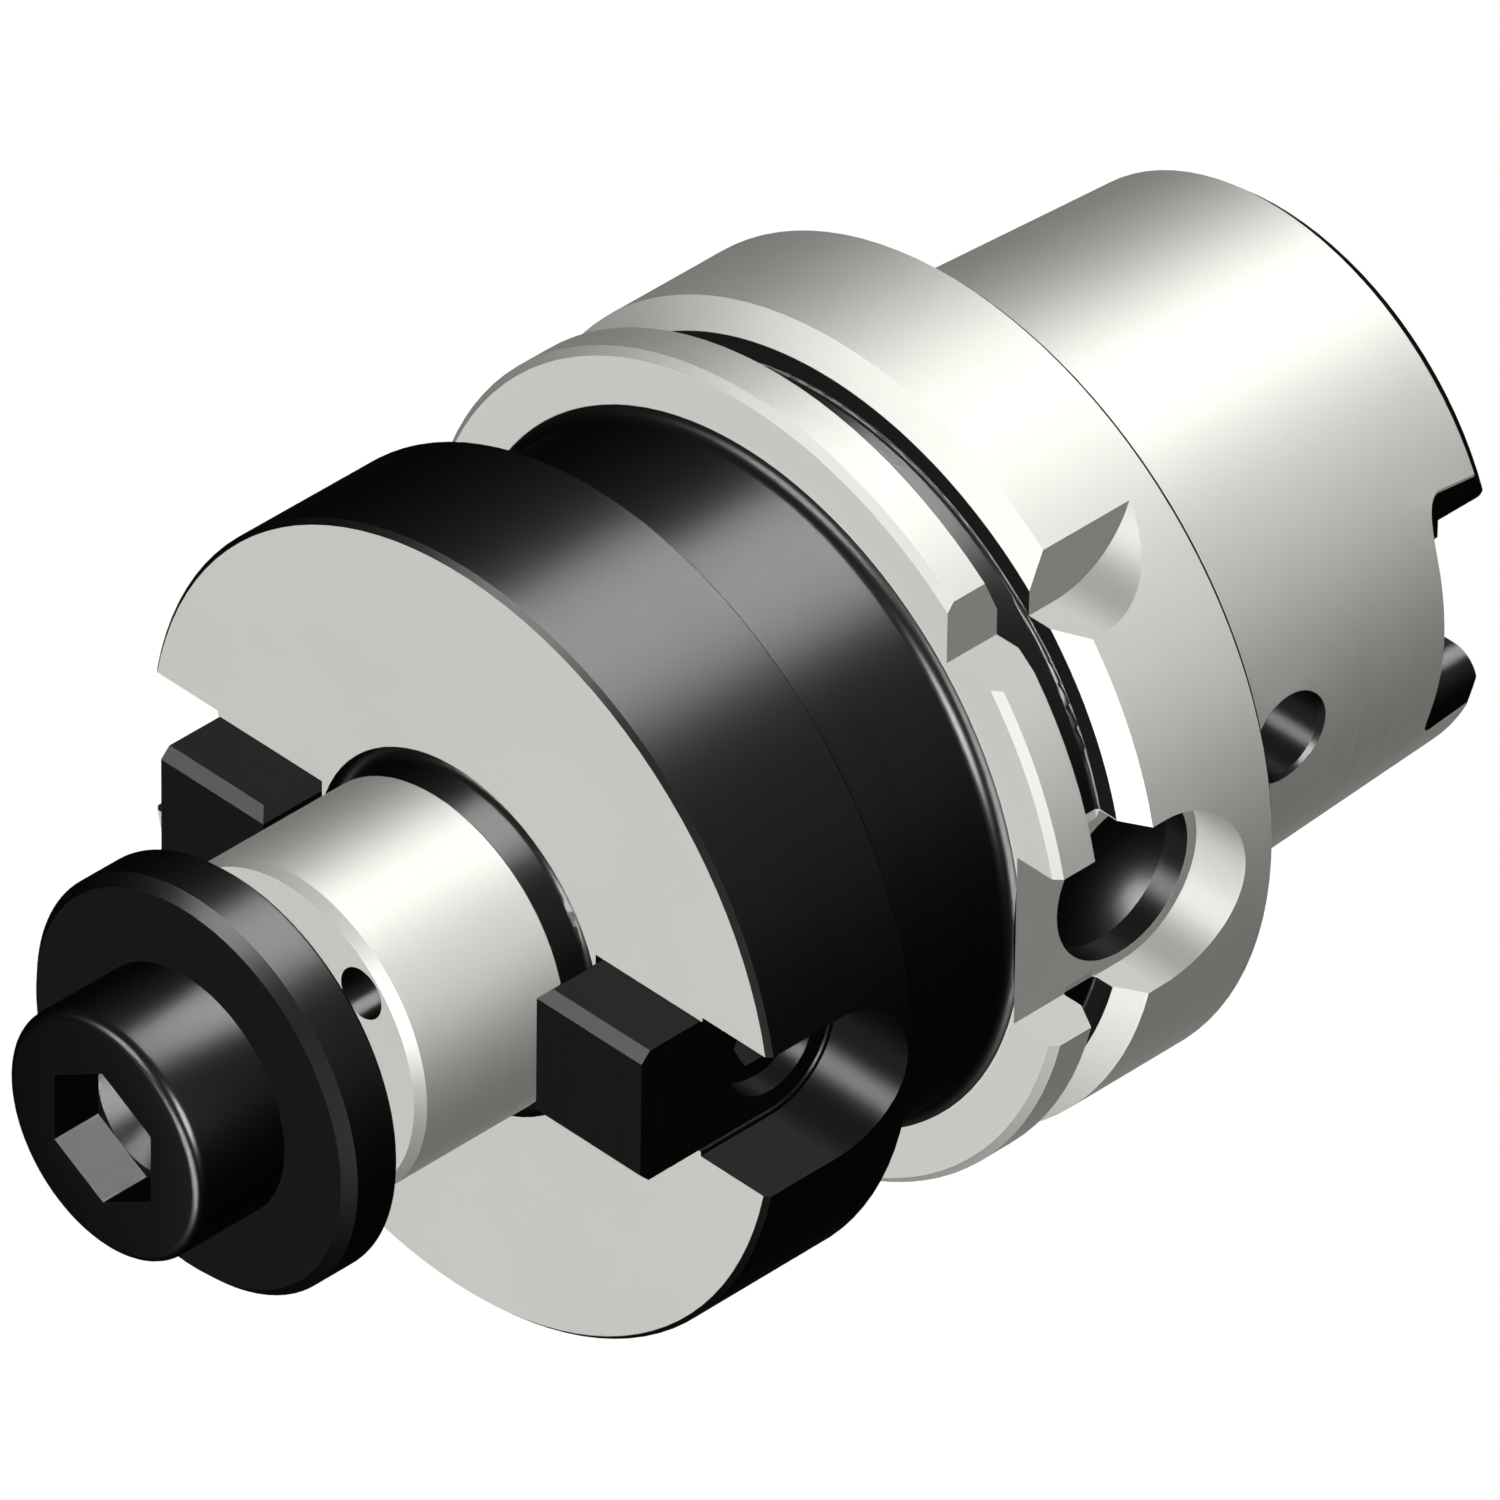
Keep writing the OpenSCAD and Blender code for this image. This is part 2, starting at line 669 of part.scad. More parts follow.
// Tube that carries coolant from the spindle, free to tilt a little
module coolant_tube() {
    seat_r = front_ring_r - ring_t / 2;
    color([0.7, 0.7, 0.68]) turned() difference() {
        union() {
            translate([0, tube_end_x]) square([tube_r, tube_seal_l]);
            translate([0, tube_end_x]) square([waist_r, tube_l]);
            translate([0, tube_flange_x]) square([tube_flange_r, tube_flange_t]);
            translate([0, tube_head_x]) square([tube_head_r, tube_head_l]);
        }
        translate([0, tube_end_x - past])
            square([tube_bore_d / 2, tube_front_x - tube_end_x + 2 * past]);
        translate([seat_r, front_ring_x - ring_t / 2 - 0.1])
            square([tube_head_r, ring_t + 0.2]);
        translate([tube_r, tube_end_x]) rotate(90) fillet_corner(tube_end_edge);
    }
}

// Nut that holds the coolant tube, with slots for a pin spanner
module tube_union_nut() {
    color([0.66, 0.66, 0.64]) difference() {
        turned() polygon([
            [nut_bore_r, nut_x],
            [nut_d / 2 - nut_chamfer, nut_x],
            [nut_d / 2, nut_x + nut_chamfer],
            [nut_d / 2, nut_front_x],
            [ring_pocket_r, nut_front_x],
            [ring_pocket_r, nut_front_x - ring_pocket_l],
            [nut_bore_r, nut_front_x - ring_pocket_l]
        ]);
        for (i = [0 : nut_slots - 1]) rotate([i * 360 / nut_slots, 0, 0])
            translate([nut_x - past, nut_bore_r - 1, -nut_slot_w / 2])
            cube([nut_slot_l + past, nut_d, nut_slot_w]);
    }
}

module seal_ring(ring_r, x) {
    color([0.08, 0.08, 0.08]) turned() translate([ring_r, x]) circle(d = ring_t);
}

module tube_ring_front() {
    seal_ring(front_ring_r, front_ring_x);
}

module tube_ring_rear() {
    seal_ring(rear_ring_r, rear_ring_x);
}

holder_body();
drive_key_right();
drive_key_left();
key_screw_right();
key_screw_left();
clamp_disc();
clamp_screw();
coolant_tube();
tube_union_nut();
tube_ring_front();
tube_ring_rear();
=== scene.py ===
# %% [markdown]
# A shell mill holder with a hollow taper shank: a machine spindle grips the pale
# taper at the back, and a milling cutter sits on the pale pilot at the front.
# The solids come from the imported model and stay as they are. This script gives
# each of them its finish, cuts a real thread on the clamp screw, and sets up the
# camera and the lamps of the studio picture.

import math

import bmesh
import bpy
from mathutils import Matrix, Vector


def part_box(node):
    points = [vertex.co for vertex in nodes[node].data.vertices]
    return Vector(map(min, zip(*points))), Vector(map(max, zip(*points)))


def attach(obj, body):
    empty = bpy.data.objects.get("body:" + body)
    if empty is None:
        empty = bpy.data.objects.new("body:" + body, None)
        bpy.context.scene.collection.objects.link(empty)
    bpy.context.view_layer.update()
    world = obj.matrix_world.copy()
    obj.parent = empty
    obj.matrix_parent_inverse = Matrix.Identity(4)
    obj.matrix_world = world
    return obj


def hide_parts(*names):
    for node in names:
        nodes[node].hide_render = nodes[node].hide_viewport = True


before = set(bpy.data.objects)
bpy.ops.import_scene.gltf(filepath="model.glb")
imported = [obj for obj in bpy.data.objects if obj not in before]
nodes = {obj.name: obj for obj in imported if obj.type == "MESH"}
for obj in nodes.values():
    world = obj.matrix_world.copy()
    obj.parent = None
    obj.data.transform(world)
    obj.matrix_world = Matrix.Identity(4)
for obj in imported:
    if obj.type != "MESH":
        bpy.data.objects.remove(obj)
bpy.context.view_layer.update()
MM = 0.001

# %% [markdown]
# The picture was taken from high up in front, with a lens so long that the
# holder shows almost no perspective. Such a camera is written down most surely
# as where one known point lands in the picture, how many pixels a millimetre
# takes there, and how far off the lens is. The known point is the middle of the
# cutter's seat, 60 mm in front of the flange.

# %% Camera
PICTURE = 1500
PIXELS_PER_MM = 11.60
SEAT = Vector((60 * MM, 0, 0))
SEAT_IN_PICTURE = (457.9, 932.3)
DISTANCE_PIXELS = 26000
AZIMUTH, ELEVATION, ROLL = (math.radians(a) for a in (135.2, 36.98, 0.77))
SENSOR = 36

ahead = -Vector((
    math.sin(AZIMUTH) * math.cos(ELEVATION),
    -math.cos(AZIMUTH) * math.cos(ELEVATION),
    math.sin(ELEVATION),
))
level_right = ahead.cross(Vector((0, 0, 1))).normalized()
level_down = ahead.cross(level_right)
right = math.cos(ROLL) * level_right - math.sin(ROLL) * level_down
down = math.sin(ROLL) * level_right + math.cos(ROLL) * level_down

shift_right, shift_down = (p - PICTURE / 2 for p in SEAT_IN_PICTURE)
to_seat = right * shift_right + down * shift_down + ahead * DISTANCE_PIXELS
place = SEAT - to_seat * (MM / PIXELS_PER_MM)

camera = bpy.data.objects.new("camera", bpy.data.cameras.new("camera"))
camera.data.sensor_width = SENSOR
camera.data.lens = SENSOR * DISTANCE_PIXELS / PICTURE
camera.data.clip_start, camera.data.clip_end = 0.1, 200
turn = Matrix((right, -down, -ahead)).transposed()
camera.matrix_world = Matrix.Translation(place) @ turn.to_4x4()
bpy.context.scene.collection.objects.link(camera)
bpy.context.scene.camera = camera
print("lens %.0f mm, %.2f m from the seat" % (camera.data.lens, (place - SEAT).length))

# %% [markdown]
# Every finish below is a small tree of shader nodes. One helper adds a node,
# sets its properties and fills its inputs, either with a value or with another
# node's output. Colours are written as on a colour card, and one function turns
# them to the linear values that the renderer works in.

# %% Helpers for node trees
def linear(card):
    """A colour such as #C3C4BF as linear red, green, blue and alpha."""
    parts = [int(card[i : i + 2], 16) / 255 for i in (1, 3, 5)]
    return [p / 12.92 if p <= 0.04045 else ((p + 0.055) / 1.055) ** 2.4 for p in parts] + [1]


def add(tree, kind, inputs=None, **settings):
    """Adds a node to a tree. An input is named or counted, and gets a value or a link."""
    node = tree.nodes.new(kind)
    for name, value in settings.items():
        setattr(node, name, value)
    for key, value in (inputs or {}).items():
        if isinstance(value, bpy.types.NodeSocket):
            tree.links.new(value, node.inputs[key])
        else:
            node.inputs[key].default_value = value
    return node


def maths(tree, operation, *values):
    """The result of one sum on sockets or numbers."""
    return add(tree, "ShaderNodeMath", dict(enumerate(values)), operation=operation).outputs[0]


def new_material(name):
    """An empty material and its tree."""
    material = bpy.data.materials.new(name)
    material.use_nodes = True
    material.node_tree.nodes.clear()
    return material, material.node_tree


# %% [markdown]
# The holder is turned and ground between centres, so every mark of the tool
# runs round the axis: rings on the cylinders and circles on the flat faces. A
# noise that changes fast along the axis and outwards, but slowly round it,
# gives both at once. The marks of a real grinding wheel are a few hundredths of
# a millimetre apart, too fine for this picture, so they are drawn at 0.3 mm.

# %% Places on the tool, in millimetres
LAY_SPACING = 0.3   # between two marks
LAY_LENGTH = 14.0   # over which one mark changes, round the axis


def axis_places(tree):
    """Place along the axis, distance from it, and the raw position, in millimetres."""
    position = add(tree, "ShaderNodeTexCoord").outputs["Object"]
    scaled = add(tree, "ShaderNodeVectorMath", {0: position, "Scale": 1 / MM}, operation="SCALE")
    parts = add(tree, "ShaderNodeSeparateXYZ", {0: scaled.outputs[0]}).outputs
    squares = maths(tree, "ADD", *(maths(tree, "MULTIPLY", p, p) for p in parts[1:3]))
    return parts[0], maths(tree, "SQRT", squares), parts


def turned_lay(tree, along, out, parts, spacing=LAY_SPACING):
    """Noise from 0 to 1 that lies in rings round the axis."""
    sideways = maths(tree, "ADD", parts[1], parts[2])
    vector = add(tree, "ShaderNodeCombineXYZ", {
        0: maths(tree, "DIVIDE", along, spacing),
        1: maths(tree, "DIVIDE", out, spacing),
        2: maths(tree, "DIVIDE", sideways, LAY_LENGTH),
    })
    noise = add(tree, "ShaderNodeTexNoise", {
        "Vector": vector.outputs[0], "Scale": 1.0, "Detail": 2.0, "Roughness": 0.6,
    })
    return noise.outputs[0]


# Painted highlight: sharp edges get a lighter colour, partly worn oxide and partly the thin
# highlight that a rounded edge would catch.
def wear_and_painted_edge_highlight(tree, radius):
    """1 on sharp edges and 0 elsewhere, for worn oxide and a painted edge highlight: the rounded
    normal leaves the true one there.
    """
    still_flat, full_wear_and_highlight = 0.995, 0.93
    rounded = add(tree, "ShaderNodeBevel", {"Radius": radius * MM}, samples=6)
    true = add(tree, "ShaderNodeNewGeometry").outputs["Normal"]
    likeness = add(tree, "ShaderNodeVectorMath", {0: rounded.outputs[0], 1: true},
                   operation="DOT_PRODUCT").outputs["Value"]
    return add(tree, "ShaderNodeMapRange", {
        "Value": likeness, "From Min": still_flat, "From Max": full_wear_and_highlight,
        "To Min": 0.0, "To Max": 1.0,
    }).outputs[0]


print("tool marks every", LAY_SPACING, "mm")

# %% [markdown]
# Two finishes cover the holder. Ground steel is bright grey metal whose fine
# marks spread a reflection wide. Black oxide is a thin black skin that a salt
# bath grows on the steel: it hides the metal's colour, leaves its shape and
# tool marks, and shines softly with the oil in it. One function makes both, so
# that they differ only in colour, roughness and depth of the marks. Bare metal
# turns into a mirror where it is seen almost edge on. A thin film of oil damps
# that, and the edge tint stands for it.

# %% Ground steel and black oxide
STEEL_LOW, STEEL_HIGH, STEEL_ROUGHNESS = "#C1C2BD", "#C8C9C3", 0.60
# The lighter oxide colour is for sharp edges: partly wear, partly a painted edge highlight.
OXIDE, OXIDE_WORN_AND_HIGHLIT, OXIDE_ROUGHNESS = "#454545", "#515150", 0.30
STEEL_MARKS, OXIDE_MARKS, SCREW_MARKS = 0.07, 0.025, 0.004   # strength of the marks
MARK_HEIGHT = 0.02 * MM
STEEL_SPREAD = 0.06                                          # of the roughness, by the marks
WEAR_AND_HIGHLIGHT_RADIUS = 0.12                                           # mm of worn edge, with a painted highlight on it
EDGE_TINT = "#ADADAD"


def shade_between(tree, low, high, share):
    """A colour between two cards."""
    mixed = add(tree, "ShaderNodeMix", {0: share, 6: linear(low), 7: linear(high)},
                data_type="RGBA")
    return mixed.outputs[2]


def finish_metal(tree, colour, roughness, lay, depth):
    """Closes a tree with a metal shader and its tool marks."""
    bump = add(tree, "ShaderNodeBump", {"Height": lay, "Strength": depth, "Distance": MARK_HEIGHT})
    shader = add(tree, "ShaderNodeBsdfPrincipled", {
        "Base Color": colour, "Roughness": roughness, "Metallic": 1.0, "Normal": bump.outputs[0],
        "Specular Tint": linear(EDGE_TINT),
    })
    add(tree, "ShaderNodeOutputMaterial", {0: shader.outputs[0]})


def oxide_material(name, roughness, marks, spacing=LAY_SPACING):
    """Black oxide on turned or milled steel, a little brighter along its edges: partly wear,
    partly a painted highlight.
    """
    material, tree = new_material(name)
    along, out, parts = axis_places(tree)
    lay = turned_lay(tree, along, out, parts, spacing)
    colour = shade_between(tree, OXIDE, OXIDE_WORN_AND_HIGHLIT, wear_and_painted_edge_highlight(tree, WEAR_AND_HIGHLIGHT_RADIUS))
    spread = maths(tree, "MULTIPLY_ADD", lay, 1.6 * marks, roughness - 0.8 * marks)
    finish_metal(tree, colour, spread, lay, marks)
    return material


black_oxide = oxide_material("black_oxide_on_turned_steel", OXIDE_ROUGHNESS, OXIDE_MARKS)
black_screws = oxide_material("black_oxide_on_alloy_screws", OXIDE_ROUGHNESS - 0.02,
                              SCREW_MARKS, spacing=0.2)
print("black finishes:", black_oxide.name, black_screws.name)

# %% [markdown]
# The whole holder goes through the black bath first. Then the surfaces that must
# be exact are ground, and there the bare steel comes back: the taper, the
# flange, the seat and the pilot. So black stays where no wheel reached, and its
# border lies wherever a ground surface ends. Each test below is 1 inside one
# such place, measured on the holder itself, and the largest of them decides.

# %% Where the holder stays black
TAPER_R, TAPER_SLOPE = 30.4, 1 / 9.98 / 2
EDGE, ROUND_EDGE = 0.01, 0.12   # how far a border stays inside a flat or a round edge
FAR = 99
ROUND_PLACES = {
    # place: (from x, to x, from radius, to radius)
    "neck and collar": (26 + EDGE, 60 - EDGE, -FAR, FAR),
    "root of the pilot": (60 - EDGE, 62.58, 8.2, 15.97),
    "rear chamfer of the flange": (0.02, 0.69, 39.2, FAR),
    "lead and rear face of the shank": (-41, -38.72, -FAR, 41),
    "core": (0, 60, -FAR, 23.6),
    "holes in the pilot": (60, 80 - EDGE, -FAR, 15.3),
}
GROOVE_FLOOR = (16.05 - EDGE, 19.95 + EDGE, 34.9, 37.26)
GROUND_SHOULDER = (-22.9, -19.3, 20.9, 23.05)
HALF_KEYWAY, DEEPER_HALF_KEYWAY = 9.1, 10.1
BALANCE_X, BALANCE_HALF, BALANCE_TOP = (3, 23), 8.1, 34
ACCESS_X, ACCESS_R, ACCESS_CHAMFER = -12, 4, 0.68


def inside(tree, value, low, high):
    """1 where a value lies between two others."""
    above = maths(tree, "GREATER_THAN", value, low)
    return maths(tree, "MULTIPLY", above, maths(tree, "LESS_THAN", value, high))


def black_places(tree, along, out, parts):
    """1 where the holder keeps its black skin, and 0 where it is ground."""
    def both(one, other):
        return maths(tree, "MULTIPLY", one, other)

    def band(low_x, high_x, low_r, high_r):
        return both(inside(tree, along, low_x, high_x), inside(tree, out, low_r, high_r))

    sideways, up = (maths(tree, "ABSOLUTE", part) for part in parts[1:])
    tests = [band(*place) for place in ROUND_PLACES.values()]

    # the hollow of the shank, all but its ground shoulder
    taper = maths(tree, "MULTIPLY_ADD", along, TAPER_SLOPE, TAPER_R - ROUND_EDGE)
    below_taper = both(inside(tree, along, -41, 0.2), maths(tree, "LESS_THAN", out, taper))
    tests.append(both(below_taper, maths(tree, "SUBTRACT", 1, band(*GROUND_SHOULDER))))

    # the groove's floor, all but where a keyway is milled through it
    wider = maths(tree, "LESS_THAN", parts[1], 0)
    half_keyway = maths(tree, "MULTIPLY_ADD", wider, DEEPER_HALF_KEYWAY - HALF_KEYWAY, HALF_KEYWAY)
    beside_keyway = maths(tree, "MAXIMUM", maths(tree, "LESS_THAN", sideways, 20),
                          maths(tree, "GREATER_THAN", up, half_keyway))
    tests.append(both(band(*GROOVE_FLOOR), beside_keyway))

    # the access holes and their chamfers, by the distance from the holes' axis
    from_access = maths(tree, "SUBTRACT", along, ACCESS_X)
    squares = maths(tree, "ADD", both(from_access, from_access), both(up, up))
    access_r = maths(tree, "SQRT", squares)
    rim = TAPER_R + ACCESS_X * TAPER_SLOPE - ACCESS_CHAMFER - ACCESS_R - 0.05
    in_access = maths(tree, "LESS_THAN", access_r, maths(tree, "SUBTRACT", sideways, rim))
    tests.append(both(inside(tree, along, -18, -6), in_access))

    # the balancing hollow
    over_balance = both(inside(tree, along, *BALANCE_X),
                        inside(tree, parts[2], -BALANCE_HALF, BALANCE_HALF))
    tests.append(both(over_balance, inside(tree, parts[1], 20, BALANCE_TOP - EDGE)))

    black = tests[0]
    for test in tests[1:]:
        black = maths(tree, "MAXIMUM", black, test)
    return black


print("black places:", ", ".join(ROUND_PLACES), "and four more")

# %% The holder's two finishes in one material
holder_finish, tree = new_material("ground_steel_with_black_oxide")
along, out, parts = axis_places(tree)
lay = turned_lay(tree, along, out, parts)
black = black_places(tree, along, out, parts)
# Painted highlight and wear: the black is lighter along sharp edges.
worn_and_highlit = shade_between(tree, OXIDE, OXIDE_WORN_AND_HIGHLIT, wear_and_painted_edge_highlight(tree, WEAR_AND_HIGHLIGHT_RADIUS))
mottle = add(tree, "ShaderNodeTexNoise", {
    "Vector": add(tree, "ShaderNodeTexCoord").outputs["Object"], "Scale": 60.0, "Detail": 3.0,
}).outputs[0]
bare = shade_between(tree, STEEL_LOW, STEEL_HIGH, mottle)
colour = add(tree, "ShaderNodeMix", {0: black, 6: bare, 7: worn_and_highlit}, data_type="RGBA").outputs[2]
base = maths(tree, "MULTIPLY_ADD", black, OXIDE_ROUGHNESS - STEEL_ROUGHNESS,
             STEEL_ROUGHNESS - STEEL_SPREAD / 2)
roughness = maths(tree, "MULTIPLY_ADD", lay, STEEL_SPREAD, base)
marks = maths(tree, "MULTIPLY_ADD", black, OXIDE_MARKS - STEEL_MARKS, STEEL_MARKS)
finish_metal(tree, colour, roughness, lay, marks)
print("holder finish has", len(tree.nodes), "nodes")

# %% [markdown]
# The coolant tube and its nut are turned stainless steel. Stainless is a little
# warmer and darker than ground tool steel, and its turning marks are wider. The
# two seal rings are nitrile rubber, moulded black and matt, and the only thing
# here that isn't metal.

# %% Stainless steel and seal rubber
stainless, tree = new_material("turned_stainless_steel")
along, out, parts = axis_places(tree)
lay = turned_lay(tree, along, out, parts, spacing=0.45)
colour = shade_between(tree, "#B9B7B0", "#C4C2BB", lay)
finish_metal(tree, colour, maths(tree, "MULTIPLY_ADD", lay, 0.1, 0.32), lay, 0.12)

rubber, tree = new_material("nitrile_rubber")
grain = add(tree, "ShaderNodeTexNoise", {
    "Vector": add(tree, "ShaderNodeTexCoord").outputs["Object"], "Scale": 2500.0, "Detail": 2.0,
}).outputs[0]
bump = add(tree, "ShaderNodeBump", {"Height": grain, "Strength": 0.15, "Distance": 0.03 * MM})
shader = add(tree, "ShaderNodeBsdfPrincipled", {
    "Base Color": shade_between(tree, "#141414", "#1C1C1B", grain),
    "Roughness": maths(tree, "MULTIPLY_ADD", grain, 0.1, 0.55),
    "Normal": bump.outputs[0],
})
add(tree, "ShaderNodeOutputMaterial", {0: shader.outputs[0]})
print("other finishes:", stainless.name, rubber.name)

# %% Give each solid its finish
FINISHES = {
    "holder_body": holder_finish,
    "drive_key_right": black_oxide,
    "drive_key_left": black_oxide,
    "key_screw_right": black_screws,
    "key_screw_left": black_screws,
    "clamp_disc": black_oxide,
    "clamp_screw": black_screws,
    "coolant_tube": stainless,
    "tube_union_nut": stainless,
    "tube_ring_front": rubber,
    "tube_ring_rear": rubber,
}
for name, material in FINISHES.items():
    nodes[name].data.materials.clear()
    nodes[name].data.materials.append(material)
print("finished", len(FINISHES), "solids")

# %% [markdown]
# The clamp screw presses the disc against the cutter. When it is backed out,
# its thread comes into view, so a plain rod won't do. A thread follows a rule:
# the same four-sided outline climbs by one pitch with every turn. Geometry
# Nodes suit that. A grid has one row for each small step of the turn and five
# columns for the outline, and each point is moved to its place on the helix.
# Both ends are flattened into plain circles, and two discs close them.

# %% Sizes of the clamp screw
screw_low, screw_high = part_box("clamp_screw")
TIP, FRONT = screw_low.x, screw_high.x
HEAD_R, HEAD_L = screw_high.z, 10 * MM
SEAT_OF_HEAD = FRONT - HEAD_L
CREST_R, PITCH = 8 * MM, 2 * MM
ROOT_R = CREST_R - 0.6134 * PITCH
STEPS = 64
INTO_HEAD = 0.3 * MM   # how far the shaft goes into the head
OUTLINE = [(0.0, 0), (0.22, 0), (0.55, 1), (0.67, 1), (1.0, 0)]   # (share of pitch, of height)
print("screw from %.1f to %.1f mm, head %.0f mm" % (TIP / MM, FRONT / MM, 2 * HEAD_R / MM))

# %% Geometry Nodes for the thread
thread_tree = bpy.data.node_groups.new("screw_thread", "GeometryNodeTree")
sockets = {}
for name, kind, value in (
    ("Crest radius", "NodeSocketFloat", CREST_R),
    ("Root radius", "NodeSocketFloat", ROOT_R),
    ("Pitch", "NodeSocketFloat", PITCH),
    ("Tip", "NodeSocketFloat", TIP),
    ("Shoulder", "NodeSocketFloat", SEAT_OF_HEAD + INTO_HEAD),
    ("Steps per turn", "NodeSocketInt", STEPS),
):
    socket = thread_tree.interface.new_socket(name, in_out="INPUT", socket_type=kind)
    sockets[name] = (socket.identifier, value)
thread_tree.interface.new_socket("Mesh", in_out="OUTPUT", socket_type="NodeSocketGeometry")

given = add(thread_tree, "NodeGroupInput").outputs
index = add(thread_tree, "GeometryNodeInputIndex").outputs[0]
length = maths(thread_tree, "SUBTRACT", given["Shoulder"], given["Tip"])
turns = maths(thread_tree, "CEIL", maths(thread_tree, "DIVIDE", length, given["Pitch"]))
rows = maths(thread_tree, "MULTIPLY_ADD", maths(thread_tree, "ADD", turns, 1),
             given["Steps per turn"], 1)
column = maths(thread_tree, "FLOOR", maths(thread_tree, "DIVIDE", index, rows))
row = maths(thread_tree, "SUBTRACT", index, maths(thread_tree, "MULTIPLY", column, rows))
turned_by = maths(thread_tree, "DIVIDE", row, given["Steps per turn"])


def outline_value(which):
    """One of the outline's two numbers, for the column that a point is in."""
    switch = add(thread_tree, "GeometryNodeIndexSwitch", data_type="FLOAT")
    while len(switch.index_switch_items) < len(OUTLINE):
        switch.index_switch_items.new()
    thread_tree.links.new(column, switch.inputs["Index"])
    for i, point in enumerate(OUTLINE):
        switch.inputs[i + 1].default_value = point[which]
    return switch.outputs[0]


print("thread tree has", len(thread_tree.nodes), "nodes so far")

# %% Place each point on the helix
climb = maths(thread_tree, "ADD", maths(thread_tree, "SUBTRACT", turned_by, 1), outline_value(0))
free_x = maths(thread_tree, "MULTIPLY_ADD", climb, given["Pitch"], given["Tip"])
x = maths(thread_tree, "MINIMUM", maths(thread_tree, "MAXIMUM", free_x, given["Tip"]),
          given["Shoulder"])
height = maths(thread_tree, "SUBTRACT", given["Crest radius"], given["Root radius"])
outline_r = maths(thread_tree, "MULTIPLY_ADD", outline_value(1), height, given["Root radius"])
from_tip = maths(thread_tree, "SUBTRACT", x, given["Tip"])
to_head = maths(thread_tree, "SUBTRACT", given["Shoulder"], x)
run_out = maths(thread_tree, "ADD", maths(thread_tree, "MINIMUM", from_tip, to_head),
                given["Root radius"])
radius = maths(thread_tree, "MINIMUM", outline_r, run_out)
angle = maths(thread_tree, "MULTIPLY", turned_by, math.tau)
helix = add(thread_tree, "ShaderNodeCombineXYZ", {
    0: x,
    1: maths(thread_tree, "MULTIPLY", radius, maths(thread_tree, "COSINE", angle)),
    2: maths(thread_tree, "MULTIPLY", radius, maths(thread_tree, "SINE", angle)),
}).outputs[0]
grid = add(thread_tree, "GeometryNodeMeshGrid", {
    "Vertices X": len(OUTLINE), "Vertices Y": rows,
}).outputs["Mesh"]
shaft = add(thread_tree, "GeometryNodeSetPosition", {"Geometry": grid, "Position": helix})
print("outline of", len(OUTLINE), "points,", STEPS, "steps a turn")

# %% Close the ends and finish the tree
closed = add(thread_tree, "GeometryNodeJoinGeometry")
thread_tree.links.new(shaft.outputs[0], closed.inputs[0])
for end in ("Tip", "Shoulder"):
    circle = add(thread_tree, "GeometryNodeMeshCircle", {
        "Vertices": given["Steps per turn"], "Radius": given["Root radius"],
    }, fill_type="NGON")
    flat = add(thread_tree, "ShaderNodeSeparateXYZ", {
        0: add(thread_tree, "GeometryNodeInputPosition").outputs[0],
    }).outputs
    stood_up = add(thread_tree, "ShaderNodeCombineXYZ", {0: given[end], 1: flat[0], 2: flat[1]})
    disc = add(thread_tree, "GeometryNodeSetPosition", {
        "Geometry": circle.outputs[0], "Position": stood_up.outputs[0],
    })
    thread_tree.links.new(disc.outputs[0], closed.inputs[0])
merged = add(thread_tree, "GeometryNodeMergeByDistance", {
    "Geometry": closed.outputs[0], "Distance": 0.005 * MM,
})
real = add(thread_tree, "GeometryNodeRealizeInstances", {0: merged.outputs[0]})
coloured = add(thread_tree, "GeometryNodeSetMaterial", {
    0: real.outputs[0], "Material": black_screws,
})
add(thread_tree, "NodeGroupOutput", {0: coloured.outputs[0]})
print("thread tree has", len(thread_tree.nodes), "nodes")


# %% Turn a tree into a plain mesh
def grown_mesh(tree, values, name):
    """The mesh that a tree makes with these values."""
    carrier = bpy.data.objects.new(name, bpy.data.meshes.new(name))
    bpy.context.scene.collection.objects.link(carrier)
    modifier = carrier.modifiers.new(name, "NODES")
    modifier.node_group = tree
    for identifier, value in values:
        modifier[identifier] = value
    evaluated = carrier.evaluated_get(bpy.context.evaluated_depsgraph_get())
    mesh = bpy.data.meshes.new_from_object(evaluated)
    bpy.data.objects.remove(carrier)
    return mesh


thread_mesh = grown_mesh(thread_tree, sockets.values(), "thread")
print("thread:", len(thread_mesh.vertices), "points,", len(thread_mesh.polygons), "faces")

# %% [markdown]
# The head of the screw is a stack of closed outlines, one behind the other,
# with faces between each and the next. Round outlines make the head, and a
# hexagon makes the socket, because a point on a hexagon is only a point on a
# circle pulled in towards the middle of its side. The hexagon is pressed into a
# drilled hole, so the blunt cone that the drill left shows below it. The edge
# at the front is rounded, so that it catches the light as a thin ring.

# %% The screw's head, as a stack of outlines
AROUND = 96
EDGE_R = 1 * MM
AF, SOCKET_L = 12 * MM, 5.1 * MM
DRILL_R = AF / 2 - 0.05 * MM
DRILL_TIP = DRILL_R / math.tan(math.radians(118 / 2))   # a drill's point has 118 degrees
BLUNT = 0.04                                            # share of the cone near its point


def ring(x, radius, hexagon=False):
    """One outline round the axis, with a hexagon's corners up and down."""
    points = []
    for i in range(AROUND):
        a = math.tau * i / AROUND
        off_flat = (a - math.pi / 2) % (math.pi / 3) - math.pi / 6
        r = radius / math.cos(off_flat) if hexagon else radius
        points.append(Vector((x, r * math.cos(a), r * math.sin(a))))
    return points


